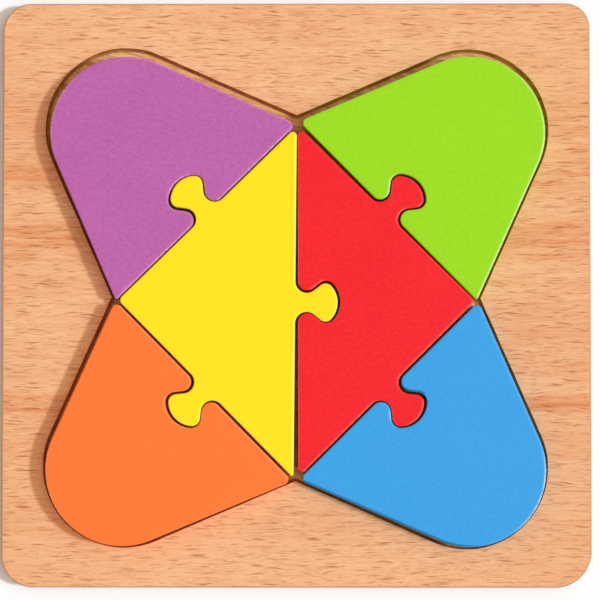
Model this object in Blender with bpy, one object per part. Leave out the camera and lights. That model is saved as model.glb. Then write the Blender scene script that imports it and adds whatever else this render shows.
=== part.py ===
"""A wooden shape board: six jigsaw pieces lie loose in a four-lobed recess in a square board.

The board is two thin boards glued together. The upper one, the frame board, has the recess cut
right through it, and the lower one, the back board, is the floor of the recess. Two half-diamond
pieces meet in the middle, and each side of their diamond holds one lobe piece by a knob.

Metres, +Z up, +Y towards the top of the puzzle. The origin is under the middle of the board, on
the surface that the board lies on.
"""
import math

import bmesh
import bpy
from mathutils import Vector

# The two boards
BACK_THICKNESS = 0.003
FRAME_THICKNESS = 0.002
GLUE_LINE = 0.0001
BOARD_ARRIS = 0.0004

# The board's corners were rounded by hand: upper right, upper left, lower left and lower right
BOARD_CORNER_RADII = (0.0061, 0.0071, 0.008, 0.0091)

# The recess, and the wood that it leaves beside its lobes
RIM_WIDTH = 0.01065
RECESS_WALL_GAP = 0.0011
RECESS_WALL_LEAN = 0.00025
RECESS_LOBE_PLAY = 0.0004
RECESS_NOTCH_RADIUS = 0.0004
RECESS_OFFSET_X = -0.00006
RECESS_OFFSET_Y = -0.00085
RECESS_TURN = math.radians(-0.26)

# All six pieces
PIECE_THICKNESS = 0.007
PIECE_ARRIS = 0.0003
PIECE_GAP = 0.00055
SEAT_GAP = 0.0003

# The diamond that the two half pieces make
DIAMOND_HALF_WIDTH = 0.0445
DIAMOND_HALF_HEIGHT = 0.0442
DIAMOND_SIDE_RADIUS = 0.0013
DIAMOND_END_RADIUS = 0.001
DIAMOND_SHARP_END_RADIUS = 0.0004

# The lobe pieces, whose outer sides run from the diamond's corners to their round ends
LOBE_CENTRE_X = 0.0424
LOBE_CENTRE_Y = 0.0419
LOBE_END_RADIUS = 0.01885
LOBE_TIP_RADIUS = 0.0013
LOBE_SHARP_TIP_RADIUS = 0.0005

# The knobs. They all have one shape, and each socket is that shape one piece gap larger
KNOB_REACH = 0.0105
KNOB_HEAD_WIDTH = 0.0094
KNOB_NECK_WIDTH = 0.0047
KNOB_EAR_RADIUS = 0.00195
KNOB_CROWN = 0.00105
KNOB_ENTRY_RADIUS = 0.00285
KNOB_SHIFT = 0.0002
CENTRE_KNOB_DROP = 0.00015

# How the loose pieces have settled. They have all slid by a share of the gap at the recess wall,
# and each has moved by a share of the gap between pieces and turned by a share of what it allows.
SETTLED_X = 0.14
SETTLED_Y = -0.86
SETTLED_PIECES = {
    "purple_piece": (0.08, -0.5, -0.35),
    "green_piece": (0.33, 0.15, -0.35),
    "orange_piece": (-1.0, 0.12, -0.53),
    "blue_piece": (0.97, 0.48, 0.23),
    "yellow_piece": (-0.11, -0.24, -0.39),
    "red_piece": (0.2, 0.02, 0.48),
}

# Quadrant of each lobe piece, as the signs of X and Y, and the radius of its tip beside X
LOBES = {
    "purple_piece": (-1, 1, LOBE_SHARP_TIP_RADIUS),
    "green_piece": (1, 1, LOBE_SHARP_TIP_RADIUS),
    "orange_piece": (-1, -1, LOBE_TIP_RADIUS),
    "blue_piece": (1, -1, LOBE_TIP_RADIUS),
}

# Steps along each kind of arc
LOBE_END_STEPS = 26
CORNER_STEPS = 4
BOARD_CORNER_STEPS = 8
ENTRY_STEPS = 6
EAR_STEPS = 10
CAP_STEPS = 4
ARRIS_STEPS = 2

LEAST_RADIUS = 0.0001
CUTTER_OVERRUN = 0.001
SMOOTH_ANGLE = math.radians(35)

# Colours as sRGB, 0 to 255
BEECH = (233, 172, 126)
PAINTS = {
    "purple_piece": (192, 104, 172),
    "green_piece": (157, 223, 37),
    "orange_piece": (254, 126, 60),
    "blue_piece": (65, 165, 232),
    "yellow_piece": (254, 229, 38),
    "red_piece": (246, 43, 49),
}
BEECH_ROUGHNESS = 0.62
PAINT_ROUGHNESS = 0.5

# Worked out from the sizes above
FRAME_BOTTOM = BACK_THICKNESS + GLUE_LINE
BOARD_TOP = FRAME_BOTTOM + FRAME_THICKNESS
SEAT_HEIGHT = BACK_THICKNESS + SEAT_GAP
LOBE_CENTRE = Vector((LOBE_CENTRE_X, LOBE_CENTRE_Y))
SIDE_CORNER = Vector((DIAMOND_HALF_WIDTH, 0))
END_CORNER = Vector((0, DIAMOND_HALF_HEIGHT))
ALONG = (END_CORNER - SIDE_CORNER).normalized()
OUTWARD = Vector((ALONG.y, -ALONG.x))
KNOB_MIDDLE = (SIDE_CORNER + END_CORNER) / 2 - KNOB_SHIFT * ALONG
PLAY_DIRECTION = LOBE_CENTRE.normalized()


def clear_scene():
    for old in list(bpy.data.objects):
        bpy.data.objects.remove(old, do_unlink=True)


def unit(angle):
    return Vector((math.cos(angle), math.sin(angle)))


def angle_of(vector):
    return math.atan2(vector.y, vector.x)


def meet(point, direction, other_point, other_direction):
    """The point where two lines cross."""
    across = Vector((-other_direction.y, other_direction.x))
    return point + direction * ((other_point - point).dot(across) / direction.dot(across))


def tangent(start, centre, radius, side):
    """The direction from start that touches the circle, with the circle to its left for side -1."""
    to_centre = centre - start
    return unit(angle_of(to_centre) + side * math.asin(radius / to_centre.length))


def arc(centre, radius, start, end, steps):
    return [centre + radius * unit(start + (end - start) * i / steps) for i in range(steps + 1)]


def round_corner(before, corner, after, radius, steps):
    """The arc that rounds one corner of an outline, from the side before it to the side after."""
    radius = max(radius, LEAST_RADIUS)
    back = (before - corner).normalized()
    onward = (after - corner).normalized()
    half_angle = back.angle(onward) / 2
    centre = corner + (back + onward).normalized() * radius / math.sin(half_angle)
    reach = radius / math.tan(half_angle)
    start = angle_of(corner + back * reach - centre)
    end = angle_of(corner + onward * reach - centre)
    sweep = (end - start + math.pi) % (2 * math.pi) - math.pi
    return arc(centre, radius, start, start + sweep, steps)


def entry_radius(neck, ear):
    """The knob's entry fillet, limited by the room that the neck and the ear leave for it."""
    room = ear.x + ear.y - neck + KNOB_EAR_RADIUS
    ear_offset = neck - ear.y
    spare = room**2 - ear.x**2 - ear_offset**2 + KNOB_EAR_RADIUS**2
    return min(KNOB_ENTRY_RADIUS, room - math.sqrt(max(spare, 0)) - LEAST_RADIUS)


def knob(grow):
    """A knob standing up along X from a side along Y, pushed out by grow, from low to high Y.

    Each flank is a concave entry arc and a convex ear, and one crowned cap joins the ears.
    """
    neck = KNOB_NECK_WIDTH / 2
    ear = Vector((KNOB_REACH - KNOB_CROWN - KNOB_EAR_RADIUS, KNOB_HEAD_WIDTH / 2 - KNOB_EAR_RADIUS))
    cap_rise = KNOB_CROWN + KNOB_EAR_RADIUS
    cap_radius = (cap_rise**2 + ear.y**2 - KNOB_EAR_RADIUS**2) / (2 * KNOB_CROWN)
    cap_centre = Vector((KNOB_REACH - cap_radius, 0))
    entry = entry_radius(neck, ear)
    entry_centre = Vector((entry, -neck - entry))
    ear_centre = Vector((ear.x, -ear.y))
    entry_arc_radius = max(entry - grow, LEAST_RADIUS)
    ear_arc_radius = KNOB_EAR_RADIUS + grow
    between = ear_centre - entry_centre
    lean = math.acos(min(1.0, (entry_arc_radius + ear_arc_radius) / between.length))
    turn_over = angle_of(between) + lean
    cap_start = angle_of(ear_centre - cap_centre)
    half = arc(entry_centre, entry_arc_radius, math.pi, turn_over, ENTRY_STEPS)
    half += arc(ear_centre, ear_arc_radius, turn_over - math.pi, cap_start, EAR_STEPS)
    half += arc(cap_centre, cap_radius + grow, cap_start, 0, CAP_STEPS)[1:]
    mirrored = [Vector((p.x, -p.y)) for p in reversed(half[:-1])]
    return half + mirrored


def side_knob(grow):
    """The knob on the diamond's upper right side, from its side corner towards its end corner."""
    root = KNOB_MIDDLE - OUTWARD * PIECE_GAP / 2
    return [root + OUTWARD * p.x + ALONG * p.y for p in knob(grow)]


def centre_knob(grow):
    """The knob that joins the half pieces, pointing to +X, from the top down."""
    root = Vector((-PIECE_GAP / 2, -CENTRE_KNOB_DROP))
    return [root + Vector((p.x, -p.y)) for p in knob(grow)]


def lobe_corners(outset, play=0.0):
    """The upper right lobe's three corners and end radius, pushed out by outset.

    The first and last corners are the notches beside the diamond's corners, and the middle one is
    where the outer sides would meet without the round end.
    """
    side_direction = tangent(SIDE_CORNER, LOBE_CENTRE, LOBE_END_RADIUS, -1)
    end_direction = tangent(END_CORNER, LOBE_CENTRE, LOBE_END_RADIUS, 1)
    side_notch = SIDE_CORNER + Vector((outset / side_direction.y, 0))
    end_notch = END_CORNER + Vector((0, outset / end_direction.x))
    centre = LOBE_CENTRE + PLAY_DIRECTION * play
    radius = LOBE_END_RADIUS + outset
    apex = meet(
        side_notch,
        tangent(side_notch, centre, radius, -1),
        end_notch,
        tangent(end_notch, centre, radius, 1),
    )
    return side_notch, apex, end_notch, radius


def lobe_outline(inset, side_tip_radius):
    """The upper right lobe piece, counter-clockwise, drawn in by inset."""
    side_notch, apex, end_notch, end_radius = lobe_corners(-inset)
    base = SIDE_CORNER + OUTWARD * (PIECE_GAP / 2 + inset)
    side_tip = meet(base, ALONG, side_notch, apex - side_notch)
    end_tip = meet(base, ALONG, end_notch, apex - end_notch)
    outline = round_corner(end_tip, side_tip, apex, side_tip_radius - inset, CORNER_STEPS)
    outline += round_corner(side_tip, apex, end_tip, end_radius, LOBE_END_STEPS)
    outline += round_corner(apex, end_tip, side_tip, LOBE_TIP_RADIUS - inset, CORNER_STEPS)
    return outline + side_knob(PIECE_GAP + inset)[::-1]


def half_outline(inset, seam, bottom_radius):
    """The right half of the diamond, counter-clockwise, with seam as its side on the middle line."""
    base = SIDE_CORNER - OUTWARD * (PIECE_GAP / 2 + inset)
    middle_line = Vector((PIECE_GAP / 2 + inset, 0))
    top = meet(base, ALONG, middle_line, Vector((0, 1)))
    side = meet(base, ALONG, Vector((0, 0)), Vector((1, 0)))
    bottom = Vector((top.x, -top.y))
    upper_knob = side_knob(-inset)
    lower_knob = [Vector((p.x, -p.y)) for p in reversed(upper_knob)]
    outline = round_corner(top, bottom, side, bottom_radius - inset, CORNER_STEPS)
    outline += lower_knob
    outline += round_corner(bottom, side, top, DIAMOND_SIDE_RADIUS - inset, CORNER_STEPS)
    outline += upper_knob
    outline += round_corner(side, top, bottom, DIAMOND_END_RADIUS - inset, CORNER_STEPS)
    return outline + seam


def red_outline(inset):
    return half_outline(inset, centre_knob(PIECE_GAP + inset), DIAMOND_END_RADIUS)


def yellow_outline(inset):
    seam = [Vector((-p.x, p.y)) for p in centre_knob(-inset)]
    outline = half_outline(inset, seam, DIAMOND_SHARP_END_RADIUS)
    return [Vector((-p.x, p.y)) for p in outline]


def recess_outline(outset):
    """The recess, counter-clockwise, at outset from the pieces' nominal outline."""
    side_notch, apex, end_notch, end_radius = lobe_corners(outset, RECESS_LOBE_PLAY)
    corners = [
        side_notch,
        apex,
        end_notch,
        Vector((-apex.x, apex.y)),
        -side_notch,
        -apex,
        -end_notch,
        Vector((apex.x, -apex.y)),
    ]
    outline = []
    for i, corner in enumerate(corners):
        is_notch = i % 2 == 0
        radius = RECESS_NOTCH_RADIUS if is_notch else end_radius
        steps = CORNER_STEPS if is_notch else LOBE_END_STEPS
        outline += round_corner(corners[i - 1], corner, corners[(i + 1) % 8], radius, steps)
    return outline


def board_half_size():
    """Half the board's width and depth: the recess lobes' reach and the rim beside them."""
    lobe_end = LOBE_CENTRE + PLAY_DIRECTION * RECESS_LOBE_PLAY
    reach = LOBE_END_RADIUS + RECESS_WALL_GAP + RECESS_WALL_LEAN + RIM_WIDTH
    return lobe_end + Vector((reach, reach))


def board_outline(inset):
    half = board_half_size() - Vector((inset, inset))
    corners = [half, Vector((-half.x, half.y)), -half, Vector((half.x, -half.y))]
    outline = []
    for i, (corner, radius) in enumerate(zip(corners, BOARD_CORNER_RADII)):
        following = corners[(i + 1) % 4]
        outline += round_corner(corners[i - 1], corner, following, radius - inset, BOARD_CORNER_STEPS)
    return outline


def plate_rings(outline_at, bottom, top, bottom_arris=0.0, top_arris=0.0):
    """The outlines that a plate with rounded edges is lofted through, each with its height."""
    rings = []
    if bottom_arris:
        for i in range(ARRIS_STEPS):
            angle = math.pi / 2 * i / ARRIS_STEPS
            inset = bottom_arris * (1 - math.sin(angle))
            rings.append((outline_at(inset), bottom + bottom_arris * (1 - math.cos(angle))))
    rings.append((outline_at(0.0), bottom + bottom_arris))
    rings.append((outline_at(0.0), top - top_arris))
    if top_arris:
        for i in range(1, ARRIS_STEPS + 1):
            angle = math.pi / 2 * i / ARRIS_STEPS
            inset = top_arris * (1 - math.cos(angle))
            rings.append((outline_at(inset), top - top_arris * (1 - math.sin(angle))))
    return rings


def loft_mesh(name, rings, origin=Vector((0, 0))):
    """A closed mesh through outlines of equal length, flat at both ends, placed about origin."""
    bm = bmesh.new()
    loops = []
    for outline, height in rings:
        loops.append([bm.verts.new((*(point - origin), height)) for point in outline])
    count = len(loops[0])
    for lower, upper in zip(loops, loops[1:]):
        for i in range(count):
            following = (i + 1) % count
            bm.faces.new((lower[i], lower[following], upper[following], upper[i]))
    bm.faces.new(loops[0][::-1])
    bm.faces.new(loops[-1])
    bmesh.ops.recalc_face_normals(bm, faces=bm.faces)
    mesh = bpy.data.meshes.new(name)
    bm.to_mesh(mesh)
    bm.free()
    mesh.shade_smooth()
    mesh.set_sharp_from_angle(angle=SMOOTH_ANGLE)
    return mesh


def add_object(name, mesh, parent, material=None):
    obj = bpy.data.objects.new(name, mesh)
    bpy.context.scene.collection.objects.link(obj)
    obj.parent = parent
    if material:
        mesh.materials.append(material)
    return obj


def add_empty(name, parent=None):
    empty = add_object(name, None, parent)
    empty.empty_display_size = DIAMOND_HALF_WIDTH
    return empty


def surface(name, srgb, roughness):
    material = bpy.data.materials.new(name)
    material.use_nodes = True
    shader = material.node_tree.nodes["Principled BSDF"]
    linear = [(c / 255 / 12.92) if c <= 10 else ((c / 255 + 0.055) / 1.055) ** 2.4 for c in srgb]
    shader.inputs["Base Color"].default_value = (*linear, 1)
    shader.inputs["Roughness"].default_value = roughness
    shader.inputs["Metallic"].default_value = 0
    material.diffuse_color = (*linear, 1)
    return material


def make_back_board(parent, wood):
    rings = plate_rings(board_outline, 0, BACK_THICKNESS, bottom_arris=BOARD_ARRIS)
    return add_object("back_board", loft_mesh("back_board", rings), parent, wood)


def make_recess_cutter(recess):
    """The recess as a solid, whose walls lean outward as they rise through the frame board."""
    overrun_lean = RECESS_WALL_LEAN * CUTTER_OVERRUN / FRAME_THICKNESS
    foot = RECESS_WALL_GAP - overrun_lean
    rim = RECESS_WALL_GAP + RECESS_WALL_LEAN + overrun_lean
    rings = [
        (recess_outline(foot), FRAME_BOTTOM - CUTTER_OVERRUN),
        (recess_outline(rim), BOARD_TOP + CUTTER_OVERRUN),
    ]
    cutter = add_object("recess_cutter", loft_mesh("recess_cutter", rings), recess)
    cutter.hide_render = True
    cutter.display_type = "WIRE"
    return cutter


def make_frame_board(parent, recess, wood):
    rings = plate_rings(board_outline, FRAME_BOTTOM, BOARD_TOP, top_arris=BOARD_ARRIS)
    board = add_object("frame_board", loft_mesh("frame_board", rings), parent, wood)
    cut = board.modifiers.new("Recess", "BOOLEAN")
    cut.operation = "DIFFERENCE"
    cut.solver = "EXACT"
    cut.object = make_recess_cutter(recess)
    return board


def make_piece(name, outline_at, middle, recess):
    """One loose piece, with its origin at its own middle on the height that it lies at."""
    rings = plate_rings(outline_at, 0, PIECE_THICKNESS, top_arris=PIECE_ARRIS)
    paint = surface(name + "_paint", PAINTS[name], PAINT_ROUGHNESS)
    piece = add_object(name, loft_mesh(name, rings, middle), recess, paint)
    share_x, share_y, share_turn = SETTLED_PIECES[name]
    shift = RECESS_WALL_GAP * Vector((SETTLED_X, SETTLED_Y)) + PIECE_GAP * Vector((share_x, share_y))
    piece.location = (*(middle + shift), SEAT_HEIGHT)
    piece.rotation_euler.z = share_turn * PIECE_GAP / DIAMOND_HALF_WIDTH
    return piece


def mirrored_lobe(sign_x, sign_y, side_tip_radius):
    """The outline of a lobe piece in its own quadrant, kept counter-clockwise, for any inset."""

    def outline(inset):
        lobe = lobe_outline(inset, side_tip_radius)
        points = [Vector((sign_x * p.x, sign_y * p.y)) for p in lobe]
        return points if sign_x == sign_y else points[::-1]

    return outline


def build():
    clear_scene()
    board = add_empty("shape_board")
    recess = add_empty("recess_centre", board)
    recess.location = (RECESS_OFFSET_X, RECESS_OFFSET_Y, 0)
    recess.rotation_euler.z = RECESS_TURN
    wood = surface("beech", BEECH, BEECH_ROUGHNESS)
    make_back_board(board, wood)
    make_frame_board(board, recess, wood)
    for name, (sign_x, sign_y, side_tip_radius) in LOBES.items():
        middle = Vector((sign_x * LOBE_CENTRE.x, sign_y * LOBE_CENTRE.y))
        make_piece(name, mirrored_lobe(sign_x, sign_y, side_tip_radius), middle, recess)
    half_middle = SIDE_CORNER / 3
    make_piece("yellow_piece", yellow_outline, -half_middle, recess)
    make_piece("red_piece", red_outline, half_middle, recess)
    bpy.context.view_layer.update()


build()
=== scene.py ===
"""The looks of the wooden shape board: fine surfaces, finishes, light and camera.

Each surface is drawn from the outline of its solid in the frame, so it fits that solid exactly.
Lengths that are written here are millimetres, and a scene unit is a metre.
"""
import math
from typing import NamedTuple

import bmesh
import bpy
import numpy as np
from mathutils import Matrix, Vector, noise
from mathutils.geometry import delaunay_2d_cdt
from mathutils.kdtree import KDTree


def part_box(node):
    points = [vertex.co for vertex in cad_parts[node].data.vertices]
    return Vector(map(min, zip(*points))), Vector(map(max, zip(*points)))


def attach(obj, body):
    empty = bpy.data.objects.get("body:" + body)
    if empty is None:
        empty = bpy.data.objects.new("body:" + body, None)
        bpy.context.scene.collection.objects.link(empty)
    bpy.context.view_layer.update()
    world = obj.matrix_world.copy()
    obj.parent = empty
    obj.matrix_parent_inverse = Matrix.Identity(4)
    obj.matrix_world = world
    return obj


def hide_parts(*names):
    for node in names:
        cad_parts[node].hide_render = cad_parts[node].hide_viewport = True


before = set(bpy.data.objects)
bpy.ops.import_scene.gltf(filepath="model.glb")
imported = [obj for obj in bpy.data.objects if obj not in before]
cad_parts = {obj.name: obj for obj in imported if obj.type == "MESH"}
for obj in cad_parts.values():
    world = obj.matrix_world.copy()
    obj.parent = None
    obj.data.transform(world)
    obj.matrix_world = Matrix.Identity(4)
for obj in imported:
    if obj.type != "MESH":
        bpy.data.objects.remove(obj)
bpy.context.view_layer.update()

MM = 0.001


class Pattern(NamedTuple):
    """Soft noise with blobs of a size, drawn from least to most between two of its values.

    The shift, in metres, takes another stretch of the same noise.
    """

    size: tuple
    low: float = 0.0
    high: float = 1.0
    least: float = 0.0
    most: float = 1.0
    detail: float = 2.0
    roughness: float = 0.5
    shift: tuple = (0.0, 0.0, 0.0)


class Flecks(NamedTuple):
    """Lens-shaped marks in cells of a size, one to a cell at most.

    The reach is a share of the cell, the turn is in degrees, and the seed picks their places.
    """

    cell: tuple
    reach: float
    turn: float
    seed: float
    most: float


class Finish(NamedTuple):
    """How rough and how glossy a surface is, and how strong and how deep its relief is."""

    roughness: float
    specular: float
    relief: float
    depth: float


# Camera of the photograph, nearly straight above the board, with its tilt in degrees
CAMERA_PLACE = (4.42, -19.38, 545.1)
CAMERA_TILT = (1.905, 0.369, 0.008)
CAMERA_LENS = 129.8
CAMERA_SENSOR = 36.0
CAMERA_NEAR = 10.0

# Studio light: a key and a broad window, in degrees and in shares of red, green and blue, and a
# slightly warm fill for the rest. A level surface in full light shows its colour as written
KEY_ELEVATION = 47.2
KEY_AZIMUTH = -3.2
KEY_ANGLE = 6.0
KEY_SHARE = (0.335, 0.415, 0.5)
WINDOW_ELEVATION = 62.0
WINDOW_ANGLE = 50.0
WINDOW_SHARE = (0.21, 0.2, 0.18)
WHITE = (255, 255, 255)
BACKDROP_REACH = 3000.0
FLOOR_ALBEDO = 0.8
FLOOR_DROP = 0.02

# Reading the solids: how near points and heights count as the same, in metres, how alike the steps
# of one arc are, and how small a cross product counts as straight
WELD = 1e-6
LEVEL = 2e-6
ARC_MATCH = 0.01
STRAIGHT = 1e-4

# Fine outlines, and the triangles of flat caps
ARC_STEP = math.radians(4)
LONGEST_STEP = 0.7
LEAST_TURN = math.radians(1)
MITRE_LIMIT = 0.3
CAP_GRID = 3.0
CAP_ROW = CAP_GRID * math.sqrt(0.75)
CAP_CLEARANCE = 0.6
CAP_TOLERANCE = 1e-5
TRIANGLES_INSIDE = 1
SMOOTH_ANGLE = math.radians(40)

# Rounded edges. Those of the pieces are narrower where they face -X, and beside sharp corners
ROUND_STEPS = 6
SUPPORT_WIDTH = 0.2
PIECE_ARRIS_WIDTH = 0.8
PIECE_ARRIS_LEFT = 0.4
PIECE_ARRIS_DROP = 0.3
LEFT_FROM = 0.5
LEFT_SPAN = 0.35
SHARP_RADIUS = 1.3
SHARP_SHARE = 0.5
SHARP_SPREAD = 0.3
PIECE_FOOT_ARRIS = 0.15
BOARD_ARRIS = 0.4
BOARD_FOOT_ARRIS = 0.3
JOINT_ARRIS = 0.08
PAINT_COAT = 0.04

# Recess wall
WALL_FOOT_WIDTH = 0.35
WALL_FOOT_HEIGHT = 0.3
WALL_LEAN = 0.25
WALL_ARRIS = 0.08
WALL_SUPPORT = 0.04

# Slow waver along the edges, and the seeds that make each edge's own
WAVER_LENGTH = 3.0
ARRIS_WAVER = 0.05
SCORCH_WAVER = 0.06
RIM_SEED = 1.0
WALL_SEED = 2.0
PIECE_SEED = 5.0

# Colours, sRGB
BEECH_PALE = (249, 190, 140)
BEECH_ROSE = (241, 169, 119)
BEECH_RING = (222, 130, 70)
BEECH_GLINT = (255, 207, 160)
BEECH_FLECK = (170, 86, 36)
BEECH_EDGE = (214, 160, 122)
BEECH_END = (196, 140, 102)
FLOOR_PALE = (251, 198, 134)
FLOOR_ROSE = (238, 174, 112)
FLOOR_LINE = (130, 68, 30)
SCORCH_LIGHT = (208, 142, 72)
SCORCH_DARK = (150, 92, 38)
# Pale edge colour: partly wear, and partly a painted highlight on edges that face the key light
PALE_WEAR_AND_HIGHLIGHT = (255, 226, 196)
PAINT_BARE = (246, 196, 140)
# Painted shade: a darker tone for a rounded edge that faces away from the key light
PAINTED_EDGE_SHADE = (10, 78, 112)
PAINTS = {
    "purple": (195, 99, 173),
    "green": (157, 224, 18),
    "orange": (255, 122, 50),
    "blue": (56, 164, 233),
    "yellow": (255, 229, 22),
    "red": (251, 26, 36),
}

BEECH_FINISH = Finish(0.6, 0.25, 0.35, 0.05)
PLY_FINISH = Finish(0.65, 0.3, 0.3, 0.04)
SCORCH_FINISH = Finish(0.7, 0.3, 0.3, 0.05)
PAINT_FINISH = Finish(0.42, 0.2, 0.15, 0.03)
SIDE_FINISH = Finish(0.65, 0.25, 0.3, 0.04)

# How the grain wanders across its own line. Noise has its mean at a half
NOISE_MEAN = 0.5
GRAIN_DRIFT = Pattern((50, 20, 20), detail=1.0, shift=(0.05, 0.02, 0.0))
GRAIN_WOBBLE = Pattern((5.0, 2.0, 2.0), detail=1.0)
DRIFT_REACH = 3.0
WOBBLE_REACH = 1.2

# Rosy wood: its patches, its mean share, and how calm the patches get towards the front
ROSY_BROAD = Pattern((60, 14, 14), 0.4, 0.72, most=0.4, detail=1.0)
ROSY_PATCHES = Pattern((11, 2.2, 2.2), 0.4, 0.7, most=0.5, shift=(0.2, 0.1, 0.0))
ROSY_MEAN = 0.25
CALM_FROM = -20.0
CALM_TO = -60.0
FRONT_CALM = 0.4

# Darker growth rings across the top board: the Y of the middle, the half width and the strength
TOP_RINGS = (
    (44.0, 7.0, 0.16),
    (29.0, 4.5, 0.38),
    (14.5, 5.0, 0.46),
    (9.5, 1.6, 0.3),
    (-27.5, 3.0, 0.6),
    (-38.0, 5.0, 0.12),
    (-58.0, 7.0, 0.1),
)
RING_CORE = 0.2
RING_BREAKS = Pattern((26, 1.3, 1.3), 0.3, 0.65, least=0.35, most=1.25, shift=(0.6, 0.3, 0.0))

# Darker wood towards the board's left and right ends
END_TINT = 0.12
END_TINT_FROM = 25.0
END_TINT_TO = 75.0

# Fine fibre of beech. The glints lie where the noise of the long fibre is low
LONG_THREADS = Pattern((11, 0.5, 0.5), detail=3.0, roughness=0.6, shift=(0.3, 0.1, 0.0))
LONG_FIBRE = LONG_THREADS._replace(low=0.52, high=0.68, most=0.17)
GLINTS = LONG_THREADS._replace(low=0.5, high=0.3, most=0.3)
FIBRE = Pattern((3.2, 0.34, 0.34), 0.5, 0.66, most=0.17, roughness=0.6)
FIBRE_DEPTH = 0.3
GRIT = Pattern((0.7, 0.28, 0.28), detail=1.0, roughness=0.6, shift=(0.5, 0.2, 0.0))
SPECKS = GRIT._replace(low=0.5, high=0.72, most=0.12)
STREAKS = Pattern((7.0, 0.36, 0.36), 0.6, 0.68, most=0.46, shift=(0.1, 0.4, 0.0))

# Dark ray flecks of beech. The exponent draws their ends out to points. Then come three shares: of
# the smallest reach in the largest, of a fleck's dark core in its reach, and of the cells that have
# a fleck, and in those the share at full strength. The shift is for each unit of a seed
RAY_FLECKS = (
    Flecks((15.0, 1.15), reach=0.25, turn=1.5, seed=3.0, most=0.7),
    Flecks((11.0, 1.0), reach=0.24, turn=-1.5, seed=11.0, most=0.64),
    Flecks((7.0, 0.7), reach=0.25, turn=0.5, seed=23.0, most=0.46),
)
FLECK_EXPONENT = 1.3
FLECK_LEAST = 0.4
FLECK_CORE = 0.4
FLECK_CHANCE = 0.85
FLECK_SURE = 0.3
FLECK_SHIFT = (1.0, 7.0, 0.0)

# Recess floor: another sheet of beech. Its grain runs some degrees off X
FLOOR_TURN = 12
FLOOR_BANDS = Pattern((20, 2.2, 2.2), 0.4, 0.7)
FLOOR_WAVES = Pattern((9, 0.8, 0.8), detail=3.0, roughness=0.55, shift=(0.2, 0.3, 0.0))
FLOOR_BOLD = FLOOR_WAVES._replace(low=0.51, high=0.6, most=0.5)
FLOOR_FINE = Pattern((3.5, 0.36, 0.36), 0.52, 0.64, most=0.35, roughness=0.6, shift=(0.4, 0.1, 0.0))

# Plywood edges: where each ply starts, as a share of the height, and 1 if it is cross-grained
PLY_HEIGHT = 5.2
PLIES = ((0.0, 0.0), (0.19, 1.0), (0.39, 0.0), (0.72, 1.0), (0.86, 0.0))
PLY_GRAIN = Pattern((8, 0.3, 0.12), 0.35, 0.75, most=0.45, detail=3.0)
PLY_GRAIN_ACROSS = PLY_GRAIN._replace(size=(0.3, 8, 0.12))

# Wood browned by the cut. Its streaks and patches count alike
SCORCH_STREAKS = Pattern((0.5, 0.5, 6), detail=3.0)
SCORCH_PATCHES = Pattern((5, 5, 5))
SCORCH_WEIGHT = 0.6
SCORCH_FROM = 0.4
SCORCH_TO = 0.85
SIDE_STREAKS = Pattern((0.6, 0.6, 5), 0.3, 0.7, least=0.03, most=0.27, detail=3.0)

# Paint: how much darker the mottle of each gets, and how much of that it gets paler
MOTTLE = {
    "purple": 0.06,
    "green": 0.03,
    "orange": 0.012,
    "blue": 0.035,
    "yellow": 0.008,
    "red": 0.05,
}
MOTTLE_LIFT = 0.6
PAINT_MOTTLE = Pattern((1.1, 0.8, 0.8), 0.3, 0.7, detail=3.0, roughness=0.6)
PAINT_WASH = Pattern((16, 12, 12))
WASH_SHARE = 0.2
PAINT_GRIT = Pattern((0.5, 0.3, 0.3))
EDGE_WEAR = 0.02

# Marks on rounded edges: pale wear, painted highlights where an edge faces the key light, and
# painted shade. A slope is the Z of the normal. A reach is the slope up to which a mark comes, and
# how far below it the mark is full. All marks fade out between two slopes near the side, and show
# where the edge faces their way nearly squarely. Speckle breaks up the narrow ones
NARROW = (0.998, 0.06)
WIDE = (0.9995, 0.015)
MARK_FOOT = (0.1, 0.4)
MARK_FACING = (0.8, 0.96)
SPECKLE = Pattern((0.6, 0.6, 0.6), 0.38, 0.62, least=0.3, most=1.3)

# Marked edges: the way that the edge faces, in degrees from +X, the strength, colour and reach.
# The pale marks are partly wear and partly painted highlight, most where an edge faces the key
# light at +X. The blue piece's dark mark is painted shade
PAINT_EDGES = {
    "purple": (
        (-45, 0.25, PALE_WEAR_AND_HIGHLIGHT, NARROW),
        (65, 0.2, PAINT_BARE, NARROW),
        (165, 0.4, PALE_WEAR_AND_HIGHLIGHT, NARROW),
    ),
    "green": (
        (-24, 0.5, PALE_WEAR_AND_HIGHLIGHT, NARROW),
        (25, 0.35, PALE_WEAR_AND_HIGHLIGHT, NARROW),
        (115, 0.12, PAINT_BARE, NARROW),
    ),
    "orange": (
        (45, 0.08, PALE_WEAR_AND_HIGHLIGHT, NARROW),
        (190, 0.35, PALE_WEAR_AND_HIGHLIGHT, NARROW),
    ),
    "blue": (
        (-20, 0.45, PALE_WEAR_AND_HIGHLIGHT, NARROW),
        # painted shade on the rounded edge that faces away from the key light
        (245, 0.6, PAINTED_EDGE_SHADE, WIDE),
    ),
    "yellow": (
        (0, 0.08, PALE_WEAR_AND_HIGHLIGHT, NARROW),
        (225, 0.2, PALE_WEAR_AND_HIGHLIGHT, NARROW),
    ),
    "red": (
        (-45, 0.12, PALE_WEAR_AND_HIGHLIGHT, NARROW),
        (180, 0.12, PALE_WEAR_AND_HIGHLIGHT, NARROW),
    ),
}


def linear(colour):
    """An sRGB colour, 0 to 255, as linear RGBA."""
    return (*[((c / 255 + 0.055) / 1.055) ** 2.4 if c > 10 else c / 3294.6 for c in colour], 1)


def srgb(value):
    """A linear value, 0 to 1, as sRGB, 0 to 255."""
    return 255 * (1.055 * value ** (1 / 2.4) - 0.055)


# Outlines


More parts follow.
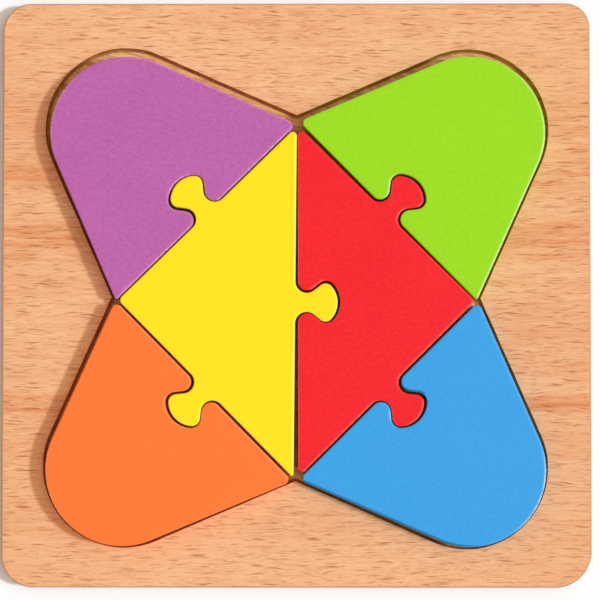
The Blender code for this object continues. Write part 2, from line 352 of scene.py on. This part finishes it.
def flat_loops(node, height):
    """The outlines of a node's flat face at a height, counter-clockwise, in mm, largest first."""
    bm = bmesh.new()
    bm.from_mesh(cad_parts[node].data)
    bmesh.ops.remove_doubles(bm, verts=bm.verts, dist=WELD)
    level = [f for f in bm.faces if all(abs(v.co.z - height) < LEVEL for v in f.verts)]
    inside = {edge for edge in bm.edges if sum(f in level for f in edge.link_faces) > 1}
    following = {}
    for face in level:
        for loop in face.loops:
            if loop.edge not in inside:
                following.setdefault(loop.vert, []).append(loop.link_loop_next.vert)
    loops = []
    while following:
        start = next(iter(following))
        vert = start
        points = []
        while True:
            points.append(Vector((vert.co.x, vert.co.y)) / MM)
            onward = following[vert].pop()
            if not following[vert]:
                del following[vert]
            vert = onward
            if vert == start:
                break
        loops.append(points if area(points) > 0 else points[::-1])
    bm.free()
    return sorted(loops, key=area, reverse=True)


def area(points):
    """The area of an outline, which is negative if the outline runs clockwise."""
    doubled = sum(a.x * b.y - b.x * a.y for a, b in zip(points, points[1:] + points[:1]))
    return doubled / 2


def circle_through(a, b, c):
    """The centre of the circle through three points, or None if they lie in line."""
    ab = b - a
    ac = c - a
    cross = ab.x * ac.y - ab.y * ac.x
    if abs(cross) < STRAIGHT * ab.length * ac.length:
        return None
    spoke = Vector((ac.y, -ac.x)) * ab.length_squared + Vector((-ab.y, ab.x)) * ac.length_squared
    return a + spoke / (2 * cross)


def arc_centre(before, start, end, after):
    """The centre of the arc that the side from start to end is a step of, or None."""
    side = (end - start).length
    if abs((start - before).length - side) < ARC_MATCH * side:
        return circle_through(before, start, end)
    if abs((after - end).length - side) < ARC_MATCH * side:
        return circle_through(start, end, after)
    return None


def finer(points):
    """The same outline with its arcs and straight sides in small steps."""
    count = len(points)
    fine = []
    for i, start in enumerate(points):
        end = points[(i + 1) % count]
        centre = arc_centre(points[i - 1], start, end, points[(i + 2) % count])
        side = (end - start).length
        if centre is None:
            steps = max(1, round(side / LONGEST_STEP))
            fine += [start.lerp(end, k / steps) for k in range(steps)]
            continue
        spoke = start - centre
        turn = 2 * math.asin(min(1, side / 2 / spoke.length))
        steps = max(1, math.ceil(turn / ARC_STEP), round(side / LONGEST_STEP))
        clockwise = spoke.angle_signed(end - centre)
        fine.append(start)
        angles = [-clockwise * k / steps for k in range(1, steps)]
        fine += [centre + Matrix.Rotation(angle, 2) @ spoke for angle in angles]
    return fine


def outward(points):
    """The outward direction at each point of a counter-clockwise outline, longer at a corner."""
    count = len(points)
    directions = []
    for i in range(count):
        before = (points[i] - points[i - 1]).normalized()
        after = (points[(i + 1) % count] - points[i]).normalized()
        middle = before + after
        mitre = max(MITRE_LIMIT, middle.length / 2)
        directions.append(Vector((middle.y, -middle.x)).normalized() / mitre)
    return directions


def grown(points, distance, waver=0.0, seed=0.0, shares=None):
    """The outline pushed out by a distance, or by a share of it at each point, with a waver."""
    pushed = []
    for i, (point, direction) in enumerate(zip(points, outward(points))):
        spread = noise.noise(Vector((point.x, point.y, seed)) / WAVER_LENGTH)
        share = shares[i] if shares else 1.0
        pushed.append(point + direction * (distance * share + waver * spread))
    return pushed


def corner_radii(points):
    """The radius at each point that turns left, as on a rounded corner of the outline, or None."""
    radii = []
    for i, point in enumerate(points):
        before = point - points[i - 1]
        after = points[(i + 1) % len(points)] - point
        turn = -before.angle_signed(after)
        radii.append((before.length + after.length) / 2 / turn if turn > LEAST_TURN else None)
    return radii


def arris_shares(points):
    """How rounded the edge is at each point: less beside sharp corners, and where it faces -X."""
    radii = corner_radii(points)
    sharp = [(p, r) for p, r in zip(points, radii) if r is not None and r < SHARP_RADIUS]
    shares = []
    for point, direction in zip(points, outward(points)):
        leftness = min(1.0, max(0.0, (-direction.normalized().x - LEFT_FROM) / LEFT_SPAN))
        share = 1.0 + leftness * (PIECE_ARRIS_LEFT / PIECE_ARRIS_WIDTH - 1.0)
        for corner, radius in sharp:
            room = SHARP_SHARE * radius + SHARP_SPREAD * (point - corner).length
            share = min(share, room / PIECE_ARRIS_WIDTH)
        shares.append(share)
    return shares


# Meshes


def inner_points(rim):
    """Points on a triangular grid over the rim's box, clear of the rim's own points."""
    near = KDTree(len(rim))
    for i, point in enumerate(rim):
        near.insert(point.to_3d(), i)
    near.balance()
    low = Vector((min(p.x for p in rim), min(p.y for p in rim)))
    high = Vector((max(p.x for p in rim), max(p.y for p in rim)))
    points = []
    for row in range(int((high.y - low.y) / CAP_ROW)):
        for column in range(int((high.x - low.x) / CAP_GRID)):
            across = (column + 0.5 * (row % 2)) * CAP_GRID
            point = low + Vector((across, row * CAP_ROW))
            if near.find(point.to_3d())[2] > CAP_GRID * CAP_CLEARANCE:
                points.append(point)
    return points


def within(points, outline):
    """For each point, whether a ray from it to +X crosses the outline an odd number of times."""
    place = np.array(points)[:, None, :]
    start = np.array(outline)[None]
    end = np.roll(start, -1, axis=1)
    spans = (start[..., 1] > place[..., 1]) != (end[..., 1] > place[..., 1])
    rise = np.where(end[..., 1] == start[..., 1], 1, end[..., 1] - start[..., 1])
    share = (place[..., 1] - start[..., 1]) / rise
    crossing = start[..., 0] + share * (end[..., 0] - start[..., 0])
    return (spans & (crossing > place[..., 0])).sum(axis=1) % 2 == 1


class Surface:
    """A closed mesh that is put together from rings of points."""

    def __init__(self):
        self.bm = bmesh.new()

    def ring(self, points, height):
        return [self.bm.verts.new((p.x * MM, p.y * MM, height * MM)) for p in points]

    def band(self, lower, upper, look):
        for i in range(len(lower)):
            k = (i + 1) % len(lower)
            face = self.bm.faces.new((lower[i], lower[k], upper[k], upper[i]))
            face.material_index = look

    def stack(self, rings, looks):
        for lower, upper, look in zip(rings, rings[1:], looks):
            self.band(lower, upper, look)

    def cap(self, rings, look):
        """A flat cap over one ring, or over the space between a ring and the ring of its hole."""
        verts = [vert for ring in rings for vert in ring]
        rims = [[vert.co.xy / MM for vert in ring] for ring in rings]
        edges = []
        for ring in rings:
            first = verts.index(ring[0])
            edges += [(first + i, first + (i + 1) % len(ring)) for i in range(len(ring))]
        points = [point for rim in rims for point in rim]
        points += inner_points(points)
        made = delaunay_2d_cdt(points, edges, [], TRIANGLES_INSIDE, CAP_TOLERANCE)
        places, _, triangles, origins = made[:4]
        own = [next((verts[k] for k in origin if k < len(verts)), None) for origin in origins]
        middles = [sum((places[i] for i in corners), Vector((0, 0))) / 3 for corners in triangles]
        wanted = np.full(len(triangles), True)
        for hole in rims[1:]:
            wanted &= ~within(middles, hole)
        height = verts[0].co.z
        for corners, keep in zip(triangles, wanted):
            if not keep:
                continue
            for i in corners:
                if own[i] is None:
                    own[i] = self.bm.verts.new((*(places[i] * MM), height))
            face = self.bm.faces.new([own[i] for i in corners])
            face.material_index = look

    def finish(self, name, looks):
        bmesh.ops.recalc_face_normals(self.bm, faces=self.bm.faces)
        mesh = bpy.data.meshes.new(name)
        self.bm.to_mesh(mesh)
        self.bm.free()
        for look in looks:
            mesh.materials.append(look)
        mesh.shade_smooth()
        mesh.set_sharp_from_angle(angle=SMOOTH_ANGLE)
        obj = bpy.data.objects.new(name, mesh)
        bpy.context.scene.collection.objects.link(obj)
        return obj


def rounded(points, edge_height, width, drop, way, waver=0.0, seed=0.0, shares=None):
    """Outlines of a rounded edge from the side to the flat, each with its height.

    The way is 1 at a top and -1 at a foot.
    """
    rings = []
    for i in range(ROUND_STEPS + 1):
        angle = math.pi / 2 * i / ROUND_STEPS
        inset = width * (1 - math.cos(angle))
        share = i / ROUND_STEPS
        height = edge_height - way * drop * (1 - math.sin(angle))
        rings.append((grown(points, -inset, -waver * share, seed, shares), height))
    rings.append((grown(points, -width - SUPPORT_WIDTH, -waver, seed, shares), edge_height))
    return rings


def recess_wall(recess, low, high):
    """Outlines of the leaning recess wall, from its foot to the top face, each with its height."""
    foot = low + WALL_FOOT_HEIGHT
    head = high - WALL_ARRIS
    rings = [(grown(recess, -WALL_FOOT_WIDTH), low)]
    for i in range(ROUND_STEPS + 1):
        share = i / ROUND_STEPS
        height = foot + (head - foot) * share
        lean = WALL_LEAN * (height - low) / (high - low)
        rings.append((grown(recess, lean, SCORCH_WAVER * share, WALL_SEED), height))
    for width in (WALL_ARRIS, WALL_ARRIS + WALL_SUPPORT):
        rings.append((grown(recess, WALL_LEAN + width, SCORCH_WAVER, WALL_SEED), high))
    return rings


def heights(node):
    """The lowest and the highest Z of a node, in mm."""
    low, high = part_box(node)
    return low.z / MM, high.z / MM


def dress(obj, node, body):
    """Put a surface in the place of a node, on the body that carries it."""
    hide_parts(node)
    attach(obj, body)


def make_piece(colour, seed):
    """A loose piece: paint over its top and rounded edge, and its side and underside below."""
    painted, side, bare = range(3)
    node = colour + "_piece"
    low, high = heights(node)
    outline = grown(finer(flat_loops(node, low * MM)[0]), PAINT_COAT)
    shares = arris_shares(outline)
    surface = Surface()
    foot = rounded(outline, low, PIECE_FOOT_ARRIS, PIECE_FOOT_ARRIS, -1)[::-1]
    head = rounded(outline, high, PIECE_ARRIS_WIDTH, PIECE_ARRIS_DROP, 1, ARRIS_WAVER, seed, shares)
    rings = [surface.ring(points, height) for points, height in foot + head]
    surface.stack(rings, [side] * len(foot) + [painted] * (len(head) - 1))
    surface.cap([rings[0]], bare)
    surface.cap([rings[-1]], painted)
    obj = surface.finish(colour + "_piece_surface", [PAINT[colour], SIDE[colour], BARE_WOOD])
    dress(obj, node, colour)


def make_back_board():
    """The lower board, whose upper face is the recess floor."""
    face, edge, under = range(3)
    low, high = heights("back_board")
    outline = finer(flat_loops("back_board", high * MM)[0])
    surface = Surface()
    foot = rounded(outline, low, BOARD_FOOT_ARRIS, BOARD_FOOT_ARRIS, -1)[::-1]
    head = rounded(outline, high, JOINT_ARRIS, JOINT_ARRIS, 1)
    rings = [surface.ring(points, height) for points, height in foot + head]
    surface.stack(rings, [edge] * (len(rings) - 1))
    surface.cap([rings[0]], under)
    surface.cap([rings[-1]], face)
    obj = surface.finish("back_board_surface", [BEECH_FLOOR, PLY_EDGE, BEECH_UNDER])
    dress(obj, "back_board", "board")


def make_frame_board():
    """The upper board, with its scorched recess wall and the softened edge above that wall."""
    face, edge, wall = range(3)
    low, high = heights("frame_board")
    outer, recess = [finer(loop) for loop in flat_loops("frame_board", low * MM)]
    surface = Surface()
    foot = rounded(outer, low, JOINT_ARRIS, JOINT_ARRIS, -1)[::-1]
    head = rounded(outer, high, BOARD_ARRIS, BOARD_ARRIS, 1, ARRIS_WAVER, RIM_SEED)
    outside = [surface.ring(points, height) for points, height in foot + head]
    surface.stack(outside, [edge] * (len(outside) - 2) + [face])
    inside = [surface.ring(points, height) for points, height in recess_wall(recess, low, high)]
    surface.stack(inside, [wall] * (len(inside) - 2) + [face])
    surface.cap([outside[-1], inside[-1]], face)
    surface.cap([outside[0], inside[0]], face)
    obj = surface.finish("frame_board_surface", [BEECH_TOP, PLY_EDGE, SCORCH])
    dress(obj, "frame_board", "board")


# Shader nodes


def add(tree, kind, inputs=None, **settings):
    """A shader node. An input is a value, or the output socket that feeds it."""
    node = tree.nodes.new("ShaderNode" + kind)
    for name, value in settings.items():
        setattr(node, name, value)
    for name, value in (inputs or {}).items():
        if isinstance(value, bpy.types.NodeSocket):
            tree.links.new(value, node.inputs[name])
        else:
            node.inputs[name].default_value = value
    return node


def calc(tree, operation, a, b=0.0, c=0.0, clamp=False):
    """The result of a math node. Each operand is a value or a socket."""
    node = add(tree, "Math", {0: a, 1: b, 2: c}, operation=operation, use_clamp=clamp)
    return node.outputs[0]


def summed(tree, first, *others):
    """The sum of values, of which some are sockets."""
    total = first
    for other in others:
        total = calc(tree, "ADD", total, other)
    return total


def blend_colours(tree, share, a, b):
    """From a, where the share is 0, to b, where it is 1. Each is an sRGB colour or a socket."""
    node = add(tree, "Mix", {0: share}, data_type="RGBA")
    for socket, value in ((node.inputs[6], a), (node.inputs[7], b)):
        if isinstance(value, bpy.types.NodeSocket):
            tree.links.new(value, socket)
        else:
            socket.default_value = linear(value)
    return node.outputs[2]


def remap(tree, value, low, high, to_low=0.0, to_high=1.0):
    """A smooth step from one value to another."""
    node = add(
        tree,
        "MapRange",
        {"Value": value, "From Min": low, "From Max": high, "To Min": to_low, "To Max": to_high},
        interpolation_type="SMOOTHSTEP",
    )
    return node.outputs["Result"]


def stretched(tree, coords, size, shift, turn=0.0):
    """Coordinates in which a cell of the given size, in mm, is one unit."""
    turned = add(
        tree,
        "Mapping",
        {"Vector": coords, "Rotation": (0, 0, math.radians(turn)), "Location": shift},
        vector_type="POINT",
    )
    scale = [1 / (side * MM) for side in size]
    scaled = add(tree, "VectorMath", {0: turned.outputs[0], 1: scale}, operation="MULTIPLY")
    return scaled.outputs[0]


def cloud(tree, coords, pattern):
    """The bare noise of a pattern, 0 to 1."""
    place = stretched(tree, coords, pattern.size, pattern.shift)
    inputs = {
        "Vector": place,
        "Scale": 1.0,
        "Detail": pattern.detail,
        "Roughness": pattern.roughness,
    }
    return add(tree, "TexNoise", inputs).outputs["Fac"]


def step(tree, value, pattern):
    """The smooth step of a pattern, for a value of its noise."""
    return remap(tree, value, pattern.low, pattern.high, pattern.least, pattern.most)


def drawn(tree, coords, pattern):
    """The noise of a pattern, put through its smooth step."""
    return step(tree, cloud(tree, coords, pattern), pattern)


def fleck_marks(tree, coords, kind):
    """Lens-shaped marks, strongest in their middles and 0 between."""
    shift = [kind.seed * along * MM for along in FLECK_SHIFT]
    place = stretched(tree, coords, (*kind.cell, 1.0), shift, kind.turn)
    cells = add(
        tree,
        "TexVoronoi",
        {"Vector": place, "Scale": 1.0, "Exponent": FLECK_EXPONENT},
        voronoi_dimensions="2D",
        feature="F1",
        distance="MINKOWSKI",
    )
    chance = add(tree, "SeparateColor", {0: cells.outputs["Color"]})
    least = kind.reach * FLECK_LEAST
    reach = calc(tree, "MULTIPLY_ADD", chance.outputs[0], kind.reach - least, least)
    near = calc(tree, "DIVIDE", cells.outputs["Distance"], reach)
    shape = remap(tree, near, 1.0, FLECK_CORE, 0.0, kind.most)
    kept = remap(tree, chance.outputs[1], FLECK_CHANCE, FLECK_CHANCE * FLECK_SURE)
    return calc(tree, "MULTIPLY", shape, kept)


# Materials


def new_material(name):
    material = bpy.data.materials.new(name)
    material.use_nodes = True
    return material, material.node_tree


def completed(material, tone, relief, finish):
    """The material with its colour, shine and relief."""
    tree = material.node_tree
    shader = tree.nodes["Principled BSDF"]
    shader.inputs["Roughness"].default_value = finish.roughness
    shader.inputs["Specular IOR Level"].default_value = finish.specular
    tree.links.new(tone, shader.inputs["Base Color"])
    settings = {"Height": relief, "Strength": finish.relief, "Distance": finish.depth * MM}
    tree.links.new(add(tree, "Bump", settings).outputs[0], shader.inputs["Normal"])
    return material


def grain_coords(tree, turn=0.0):
    """Object coordinates, turned, and drawn slightly off line so that the grain wanders."""
    coords = add(tree, "TexCoord").outputs["Object"]
    drift = calc(tree, "SUBTRACT", cloud(tree, coords, GRAIN_DRIFT), NOISE_MEAN)
    wobble = calc(tree, "SUBTRACT", cloud(tree, coords, GRAIN_WOBBLE), NOISE_MEAN)
    across = calc(tree, "MULTIPLY", drift, DRIFT_REACH * MM)
    small = calc(tree, "MULTIPLY", wobble, WOBBLE_REACH * MM)
    offset = add(tree, "CombineXYZ", {"Y": summed(tree, across, small)})
    moved = add(tree, "VectorMath", {0: coords, 1: offset.outputs[0]}, operation="ADD")
    turned = {"Vector": moved.outputs[0], "Rotation": (0, 0, math.radians(turn))}
    return add(tree, "Mapping", turned).outputs[0]


def growth_rings(tree, coords, rings):
    """The share of darker wood, towards both ends and in bands across Y, broken up along X."""
    place = add(tree, "SeparateXYZ", {0: coords})
    sideways = calc(tree, "ABSOLUTE", place.outputs["X"])
    share = remap(tree, sideways, END_TINT_FROM * MM, END_TINT_TO * MM, 0.0, END_TINT)
    for middle, half_width, strength in rings:
        away = calc(tree, "ABSOLUTE", calc(tree, "SUBTRACT", place.outputs["Y"], middle * MM))
        core = RING_CORE * half_width
        share = summed(tree, share, remap(tree, away, half_width * MM, core * MM, 0.0, strength))
    return calc(tree, "MULTIPLY", share, drawn(tree, coords, RING_BREAKS))


def beech(name, rings=()):
    """Plain-sawn beech with its grain along X: rings, rosy patches, fine fibre and dark flecks."""
    material, tree = new_material(name)
    coords = grain_coords(tree)
    rosy = summed(tree, drawn(tree, coords, ROSY_BROAD), drawn(tree, coords, ROSY_PATCHES))
    across = add(tree, "SeparateXYZ", {0: coords}).outputs["Y"]
    calm = remap(tree, across, CALM_FROM * MM, CALM_TO * MM, 1.0, FRONT_CALM)
    spread = calc(tree, "MULTIPLY", calc(tree, "SUBTRACT", rosy, ROSY_MEAN), calm)
    tone = blend_colours(tree, summed(tree, spread, ROSY_MEAN), BEECH_PALE, BEECH_ROSE)
    if rings:
        tone = blend_colours(tree, growth_rings(tree, coords, rings), tone, BEECH_RING)
    tone = blend_colours(tree, drawn(tree, coords, GLINTS), tone, BEECH_GLINT)
    fibre = cloud(tree, coords, FIBRE)
    specks = drawn(tree, coords, SPECKS)
    long_fibre = drawn(tree, coords, LONG_FIBRE)
    grain = summed(tree, step(tree, fibre, FIBRE), specks, long_fibre)
    tone = blend_colours(tree, grain, tone, BEECH_FLECK)
    marks = drawn(tree, coords, STREAKS)
    for kind in RAY_FLECKS:
        marks = calc(tree, "MAXIMUM", marks, fleck_marks(tree, coords, kind))
    tone = blend_colours(tree, marks, tone, BEECH_FLECK)
    depth = summed(tree, marks, calc(tree, "MULTIPLY", fibre, FIBRE_DEPTH))
    return completed(material, tone, calc(tree, "MULTIPLY", depth, -1.0), BEECH_FINISH)


def beech_floor():
    """The recess floor: another sheet of beech, with wavy lines that run a little off X."""
    material, tree = new_material("beech_floor")
    coords = grain_coords(tree, FLOOR_TURN)
    tone = blend_colours(tree, drawn(tree, coords, FLOOR_BANDS), FLOOR_PALE, FLOOR_ROSE)
    bold = drawn(tree, coords, FLOOR_BOLD)
    lines = calc(tree, "MAXIMUM", bold, drawn(tree, coords, FLOOR_FINE))
    tone = blend_colours(tree, lines, tone, FLOOR_LINE)
    return completed(material, tone, calc(tree, "MULTIPLY", lines, -1.0), BEECH_FINISH)


def ply_edge():
    """Sawn and sanded plywood edges: pale plies along X, and darker cross-grained ones between."""
    material, tree = new_material("ply_edge")
    coords = add(tree, "TexCoord").outputs["Object"]
    height = add(tree, "SeparateXYZ", {0: coords}).outputs["Z"]
    plies = add(tree, "ValToRGB", {0: calc(tree, "DIVIDE", height, PLY_HEIGHT * MM)})
    ramp = plies.color_ramp
    ramp.interpolation = "CONSTANT"
    for position, value in PLIES:
        stop = ramp.elements.new(position)
        stop.color = (value, value, value, 1)
    crosswise = plies.outputs[0]
    along = cloud(tree, coords, PLY_GRAIN)
    across = cloud(tree, coords, PLY_GRAIN_ACROSS)
    grain = blend_colours(tree, crosswise, along, across)
    tone = blend_colours(tree, crosswise, BEECH_EDGE, BEECH_END)
    tone = blend_colours(tree, step(tree, grain, PLY_GRAIN), tone, BEECH_FLECK)
    return completed(material, tone, grain, PLY_FINISH)


def scorch():
    """Wood browned by the cut, in upright streaks and in patches."""
    material, tree = new_material("scorch")
    coords = add(tree, "TexCoord").outputs["Object"]
    streaks = cloud(tree, coords, SCORCH_STREAKS)
    both = summed(tree, streaks, cloud(tree, coords, SCORCH_PATCHES))
    share = calc(tree, "MULTIPLY", both, SCORCH_WEIGHT)
    browned = remap(tree, share, SCORCH_FROM, SCORCH_TO)
    tone = blend_colours(tree, browned, SCORCH_LIGHT, SCORCH_DARK)
    return completed(material, tone, streaks, SCORCH_FINISH)


def rim_share(tree, slope, reach):
    """1 on a rounded edge, and 0 on the flat top and low on the side."""
    start, fade = reach
    upper = remap(tree, slope, start, start - fade)
    return calc(tree, "MULTIPLY", upper, remap(tree, slope, *MARK_FOOT))


def paint(name, colour, edges, depth):
    """Satin paint with a faint mottle from the wood under it, and marks on its rounded edges.

    The marks are pale wear, painted highlights and painted shade.
    """
    material, tree = new_material(name)
    place = add(tree, "TexCoord")
    coords = place.outputs["Object"]
    dark = tuple(c * (1 - depth) for c in colour)
    pale = tuple(c + (255 - c) * depth * MOTTLE_LIFT for c in colour)
    mottle = calc(tree, "MULTIPLY", cloud(tree, coords, PAINT_MOTTLE), 1 - WASH_SHARE)
    wash = calc(tree, "MULTIPLY", cloud(tree, coords, PAINT_WASH), WASH_SHARE)
    tone = blend_colours(tree, step(tree, summed(tree, mottle, wash), PAINT_MOTTLE), dark, pale)
    normal = place.outputs["Normal"]
    slope = add(tree, "SeparateXYZ", {0: normal}).outputs["Z"]
    level = calc(tree, "SQRT", calc(tree, "SUBTRACT", 1.0, calc(tree, "MULTIPLY", slope, slope)))
    speckle = drawn(tree, coords, SPECKLE)
    worn = calc(tree, "MULTIPLY", rim_share(tree, slope, NARROW), EDGE_WEAR)
    tone = blend_colours(tree, worn, tone, PALE_WEAR_AND_HIGHLIGHT)
    # Edge marks: pale wear, painted highlights and painted shade, each on the edges that face its
    # way
    for degrees, most, mark_colour, reach in edges:
        angle = math.radians(degrees)
        way = (math.cos(angle), math.sin(angle), 0)
        facing = add(tree, "VectorMath", {0: normal, 1: way}, operation="DOT_PRODUCT")
        squarely = calc(tree, "DIVIDE", facing.outputs["Value"], level)
        towards = remap(tree, squarely, *MARK_FACING, 0.0, most)
        mark = calc(tree, "MULTIPLY", rim_share(tree, slope, reach), towards)
        if reach == NARROW:
            mark = calc(tree, "MULTIPLY", mark, speckle, clamp=True)
        tone = blend_colours(tree, mark, tone, mark_colour)
    return completed(material, tone, cloud(tree, coords, PAINT_GRIT), PAINT_FINISH)


def painted_side(name, colour):
    """A piece's side: brown from the cut, under a thin coat of its paint."""
    material, tree = new_material(name)
    coords = add(tree, "TexCoord").outputs["Object"]
    streaks = cloud(tree, coords, SIDE_STREAKS)
    brown = blend_colours(tree, streaks, SCORCH_LIGHT, SCORCH_DARK)
    tone = blend_colours(tree, step(tree, streaks, SIDE_STREAKS), colour, brown)
    return completed(material, tone, streaks, SIDE_FINISH)


# Studio


def shown_or_lit(tree, shown, lit):
    """One value for what the camera and reflections see, and another for what lights the scene."""
    path = add(tree, "LightPath")
    seen = calc(tree, "MAXIMUM", path.outputs["Is Camera Ray"], path.outputs["Is Glossy Ray"])
    seen = calc(tree, "MAXIMUM", seen, path.outputs["Is Transmission Ray"])
    return blend_colours(tree, seen, lit, shown)


def make_floor():
    """A white sheet just under the board, which shows the board's shadow."""
    reach = BACKDROP_REACH * MM
    drop = FLOOR_DROP * MM
    mesh = bpy.data.meshes.new("floor")
    sides = ((-1, -1), (1, -1), (1, 1), (-1, 1))
    corners = [(x * reach, y * reach, -drop) for x, y in sides]
    mesh.from_pydata(corners, [], [(0, 1, 2, 3)])
    material = bpy.data.materials.new("floor")
    material.use_nodes = True
    tree = material.node_tree
    tree.nodes.clear()
    colour = shown_or_lit(tree, WHITE, (srgb(FLOOR_ALBEDO),) * 3)
    diffuse = add(tree, "BsdfDiffuse", {"Color": colour})
    add(tree, "OutputMaterial", {"Surface": diffuse.outputs[0]})
    mesh.materials.append(material)
    floor = bpy.data.objects.new("floor", mesh)
    bpy.context.scene.collection.objects.link(floor)


def make_light():
    """A key and a broad window from the right and an even fill, which add up to one."""
    lamps = (
        ("key", KEY_ELEVATION, KEY_ANGLE, KEY_SHARE),
        ("window", WINDOW_ELEVATION, WINDOW_ANGLE, WINDOW_SHARE),
    )
    for name, degrees, angle, share in lamps:
        elevation = math.radians(degrees)
        lamp = bpy.data.lights.new(name, "SUN")
        lamp.color = share
        lamp.energy = math.pi / math.sin(elevation)
        lamp.angle = math.radians(angle)
        sun = bpy.data.objects.new(name, lamp)
        sun.rotation_euler = (0, math.pi / 2 - elevation, math.radians(KEY_AZIMUTH))
        bpy.context.scene.collection.objects.link(sun)
    world = bpy.data.worlds.new("studio")
    bpy.context.scene.world = world
    world.use_nodes = True
    tree = world.node_tree
    tree.nodes.clear()
    fill = tuple(srgb(1 - key - window) for key, window in zip(KEY_SHARE, WINDOW_SHARE))
    background = add(tree, "Background", {"Color": shown_or_lit(tree, WHITE, fill)})
    add(tree, "OutputWorld", {"Surface": background.outputs[0]})


def make_camera():
    """The camera of the photograph."""
    data = bpy.data.cameras.new("camera")
    data.sensor_width = CAMERA_SENSOR
    data.lens = CAMERA_LENS
    data.clip_start = CAMERA_NEAR * MM
    camera = bpy.data.objects.new("camera", data)
    camera.location = Vector(CAMERA_PLACE) * MM
    camera.rotation_euler = [math.radians(angle) for angle in CAMERA_TILT]
    bpy.context.scene.collection.objects.link(camera)
    bpy.context.scene.camera = camera


BEECH_TOP = beech("beech_top", TOP_RINGS)
BEECH_FLOOR = beech_floor()
BEECH_UNDER = beech("beech_under")
BARE_WOOD = beech("bare_wood")
PLY_EDGE = ply_edge()
SCORCH = scorch()
PAINT = {}
SIDE = {}
for colour, rgb in PAINTS.items():
    PAINT[colour] = paint(colour + "_paint", rgb, PAINT_EDGES[colour], MOTTLE[colour])
    SIDE[colour] = painted_side(colour + "_side", rgb)

make_camera()
make_light()
make_floor()
make_back_board()
make_frame_board()
for order, name in enumerate(PAINTS):
    make_piece(name, order + PIECE_SEED)

bpy.context.scene.view_settings.view_transform = "Standard"
